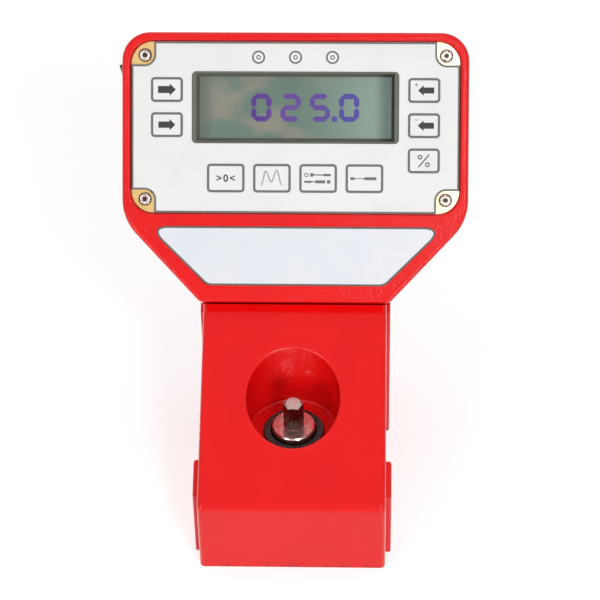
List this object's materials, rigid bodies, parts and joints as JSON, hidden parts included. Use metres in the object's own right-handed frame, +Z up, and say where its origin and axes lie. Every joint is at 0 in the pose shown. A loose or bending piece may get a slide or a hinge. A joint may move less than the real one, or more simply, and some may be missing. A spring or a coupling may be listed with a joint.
{
  "type": "digital torque tester",
  "caption": "Bench torque tester: a wedge-shaped base with an upright hexagon drive in a round well, and a tilted display head with a membrane keypad",
  "frame": {"origin": "On the bench, midway between the four bench-fixing holes", "axes": "+X is to the right seen from the front, +Y is to the back and +Z is up"},
  "size_m": [0.1995, 0.2213, 0.2296],
  "materials": {
    "red_paint": "gloss",
    "drive_steel": "satin",
    "black_steel": "oiled black oxide",
    "bearing_steel": "polished",
    "screw_steel": "zinc plated",
    "plate_aluminium": "mill finish",
    "yellow_chromate": "passivated",
    "keypad_sheet": "fine matt",
    "window_film": "clear",
    "lamp_resin": "clear",
    "display_glass": "gloss",
    "label_sheet": "fine matt",
    "dark_plastic": "satin",
    "frame_grey": "satin",
    "light_guide": "gloss",
    "circuit_board": "solder mask",
    "chip_resin": "moulded",
    "gauge_foil": "film",
    "dome_steel": "polished",
    "brass": "turned",
    "black_rubber": "matt",
    "lead_jacket": "matt"
  },
  "bodies": {
    "instrument": {"base_housing": "red_paint", "head_housing": "red_paint", "head_rear_cover": "red_paint", "base_plate": "plate_aluminium", "base_plate_screws": "screw_steel", "drive_spindle": "drive_steel", "flange_screws": "black_steel", "lock_ring": "black_steel", "bearing_outer_ring": "bearing_steel", "bearing_inner_ring": "bearing_steel", "bearing_balls": "bearing_steel", "strain_gauges": "gauge_foil", "head_gasket": "black_rubber", "rear_cover_screws": "screw_steel", "head_bolts": "black_steel", "cable_grommet": "black_rubber", "transducer_lead": "lead_jacket", "panel_plate": "yellow_chromate", "panel_screws": "screw_steel", "spacer_layer": "keypad_sheet", "membrane_overlay": "keypad_sheet", "display_window": "window_film", "led_windows": "window_film", "key_domes": "dome_steel", "lcd_bezel": "frame_grey", "lcd_glass": "display_glass", "lcd_backlight": "light_guide", "lcd_board": "circuit_board", "lcd_spacers": "brass", "lcd_screws": "screw_steel", "leds": "lamp_resin", "main_board": "circuit_board", "board_parts": "chip_resin", "board_standoffs": "brass", "board_screws": "screw_steel", "label_plate": "label_sheet", "switch_body": "dark_plastic", "switch_tags": "brass", "dc_socket": "dark_plastic", "dc_socket_nut": "screw_steel", "serial_connector": "bearing_steel", "serial_posts": "screw_steel"},
    "key_left_upper": {"key_left_upper": "keypad_sheet"},
    "key_left_lower": {"key_left_lower": "keypad_sheet"},
    "key_right_upper": {"key_right_upper": "keypad_sheet"},
    "key_right_lower": {"key_right_lower": "keypad_sheet"},
    "key_percent": {"key_percent": "keypad_sheet"},
    "key_zero": {"key_zero": "keypad_sheet"},
    "key_peak": {"key_peak": "keypad_sheet"},
    "key_wrench": {"key_wrench": "keypad_sheet"},
    "key_driver": {"key_driver": "keypad_sheet"},
    "power_rocker": {"power_rocker": "dark_plastic"}
  },
  "joints": [
    {"name": "key_left_upper_press", "type": "slide", "parent": "instrument", "child": "key_left_upper", "axis": [0, 0.7891, -0.6143], "range_m": [0, 0.0004], "stiffness_N_per_m": 2500},
    {"name": "key_left_lower_press", "type": "slide", "parent": "instrument", "child": "key_left_lower", "axis": [0, 0.7891, -0.6143], "range_m": [0, 0.0004], "stiffness_N_per_m": 2500},
    {"name": "key_right_upper_press", "type": "slide", "parent": "instrument", "child": "key_right_upper", "axis": [0, 0.7891, -0.6143], "range_m": [0, 0.0004], "stiffness_N_per_m": 2500},
    {"name": "key_right_lower_press", "type": "slide", "parent": "instrument", "child": "key_right_lower", "axis": [0, 0.7891, -0.6143], "range_m": [0, 0.0004], "stiffness_N_per_m": 2500},
    {"name": "key_percent_press", "type": "slide", "parent": "instrument", "child": "key_percent", "axis": [0, 0.7891, -0.6143], "range_m": [0, 0.0004], "stiffness_N_per_m": 2500},
    {"name": "key_zero_press", "type": "slide", "parent": "instrument", "child": "key_zero", "axis": [0, 0.7891, -0.6143], "range_m": [0, 0.0004], "stiffness_N_per_m": 2500},
    {"name": "key_peak_press", "type": "slide", "parent": "instrument", "child": "key_peak", "axis": [0, 0.7891, -0.6143], "range_m": [0, 0.0004], "stiffness_N_per_m": 2500},
    {"name": "key_wrench_press", "type": "slide", "parent": "instrument", "child": "key_wrench", "axis": [0, 0.7891, -0.6143], "range_m": [0, 0.0004], "stiffness_N_per_m": 2500},
    {"name": "key_driver_press", "type": "slide", "parent": "instrument", "child": "key_driver", "axis": [0, 0.7891, -0.6143], "range_m": [0, 0.0004], "stiffness_N_per_m": 2500},
    {"name": "power_rocker_tip", "type": "hinge", "parent": "instrument", "child": "power_rocker", "pos_m": [-0.0979, 0.12518, 0.19961], "axis": [0, 0.7891, -0.6143], "range_deg": [0, 18]}
  ]
}
